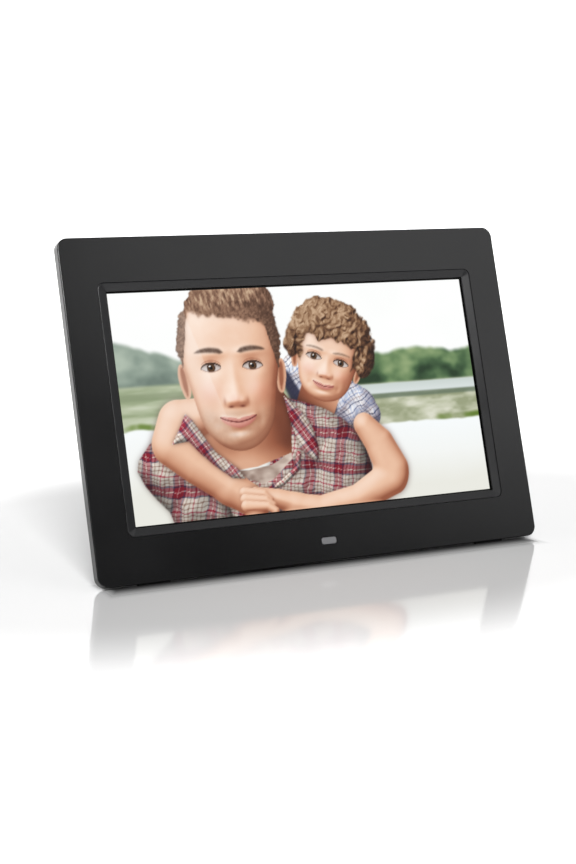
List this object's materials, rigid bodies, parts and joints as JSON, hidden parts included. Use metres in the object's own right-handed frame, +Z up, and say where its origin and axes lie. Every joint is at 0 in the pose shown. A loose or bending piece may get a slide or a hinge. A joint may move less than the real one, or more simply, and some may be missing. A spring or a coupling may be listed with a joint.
{
  "type": "digital photo frame",
  "caption": "Desktop digital photo frame: black plastic case leaning back on a fold-out rear leg, with a wide lit screen, bevelled trim and rear keys.",
  "frame": {"origin": "centre of the footprint on the desk, at desk level", "axes": "+X to the right seen from the front, along the width; -Y is the side the picture faces; +Z up; the case leans back 17 degrees"},
  "size_m": [0.274, 0.078, 0.1794],
  "materials": {
    "case_front": "satin gloss black moulding",
    "trim": "satin black, slightly greyer than the case",
    "window": "smoked grey translucent infra-red window",
    "screen_glass": "clear glass over a lit picture",
    "steel": "bright nickel-plated steel",
    "backlight": "white moulding",
    "ribbon": "amber polyimide film",
    "cover": "fine-textured black moulding",
    "board": "green solder mask",
    "component": "moulded black epoxy",
    "socket_plastic": "plain black moulding",
    "key": "smooth satin black",
    "lead": "soft vinyl sleeve",
    "rubber": "soft matt rubber"
  },
  "bodies": {
    "case": {"front_bezel": "case_front", "screen_trim": "trim", "ir_window": "window", "display_glass": "screen_glass", "display_frame": "steel", "display_backlight": "backlight", "display_ribbon": "ribbon", "display_bracket_left": "steel", "display_bracket_right": "steel", "rear_cover": "cover", "cover_screw_top_outer_left": "steel", "cover_screw_top_inner_left": "steel", "cover_screw_top_inner_right": "steel", "cover_screw_top_outer_right": "steel", "cover_screw_bottom_left": "steel", "cover_screw_bottom_right": "steel", "bracket_screw_1": "steel", "bracket_screw_2": "steel", "bracket_screw_3": "steel", "bracket_screw_4": "steel", "main_board": "board", "processor_chip": "component", "memory_chip": "component", "power_capacitor": "steel", "card_socket": "steel", "usb_socket": "steel", "service_socket": "steel", "audio_jack": "socket_plastic", "power_jack": "socket_plastic", "key_board": "board", "key_ribbon": "ribbon", "tact_switch_power": "component", "tact_switch_menu": "component", "tact_switch_previous": "component", "tact_switch_play": "component", "tact_switch_next": "component", "tact_switch_volume_down": "component", "tact_switch_volume_up": "component", "ir_receiver": "component", "ir_board": "board", "speaker_left": "socket_plastic", "speaker_right": "socket_plastic", "speaker_lead_left": "lead", "speaker_lead_right": "lead", "hinge_pin": "steel", "hinge_spacer_left": "socket_plastic", "hinge_spacer_right": "socket_plastic", "case_foot_left": "rubber", "case_foot_right": "rubber"},
    "stand": {"stand_leg": "cover", "stand_foot_pad": "rubber"},
    "key_power": {"button_power": "key"},
    "key_menu": {"button_menu": "key"},
    "key_previous": {"button_previous": "key"},
    "key_play": {"button_play": "key"},
    "key_next": {"button_next": "key"},
    "key_volume_down": {"button_volume_down": "key"},
    "key_volume_up": {"button_volume_up": "key"}
  },
  "joints": [
    {"name": "stand_hinge", "type": "hinge", "parent": "case", "child": "stand", "pos_m": [0, 0.01227, 0.10413], "axis": [1, 0, 0], "range_deg": [-30, 0]},
    {"name": "key_power_press", "type": "slide", "parent": "case", "child": "key_power", "axis": [0, -0.9563, 0.2924], "range_m": [0, 0.0006], "stiffness_N_per_m": 2500, "springref_m": -0.0002},
    {"name": "key_menu_press", "type": "slide", "parent": "case", "child": "key_menu", "axis": [0, -0.9563, 0.2924], "range_m": [0, 0.0006], "stiffness_N_per_m": 2500, "springref_m": -0.0002},
    {"name": "key_previous_press", "type": "slide", "parent": "case", "child": "key_previous", "axis": [0, -0.9563, 0.2924], "range_m": [0, 0.0006], "stiffness_N_per_m": 2500, "springref_m": -0.0002},
    {"name": "key_play_press", "type": "slide", "parent": "case", "child": "key_play", "axis": [0, -0.9563, 0.2924], "range_m": [0, 0.0006], "stiffness_N_per_m": 2500, "springref_m": -0.0002},
    {"name": "key_next_press", "type": "slide", "parent": "case", "child": "key_next", "axis": [0, -0.9563, 0.2924], "range_m": [0, 0.0006], "stiffness_N_per_m": 2500, "springref_m": -0.0002},
    {"name": "key_volume_down_press", "type": "slide", "parent": "case", "child": "key_volume_down", "axis": [0, -0.9563, 0.2924], "range_m": [0, 0.0006], "stiffness_N_per_m": 2500, "springref_m": -0.0002},
    {"name": "key_volume_up_press", "type": "slide", "parent": "case", "child": "key_volume_up", "axis": [0, -0.9563, 0.2924], "range_m": [0, 0.0006], "stiffness_N_per_m": 2500, "springref_m": -0.0002}
  ]
}
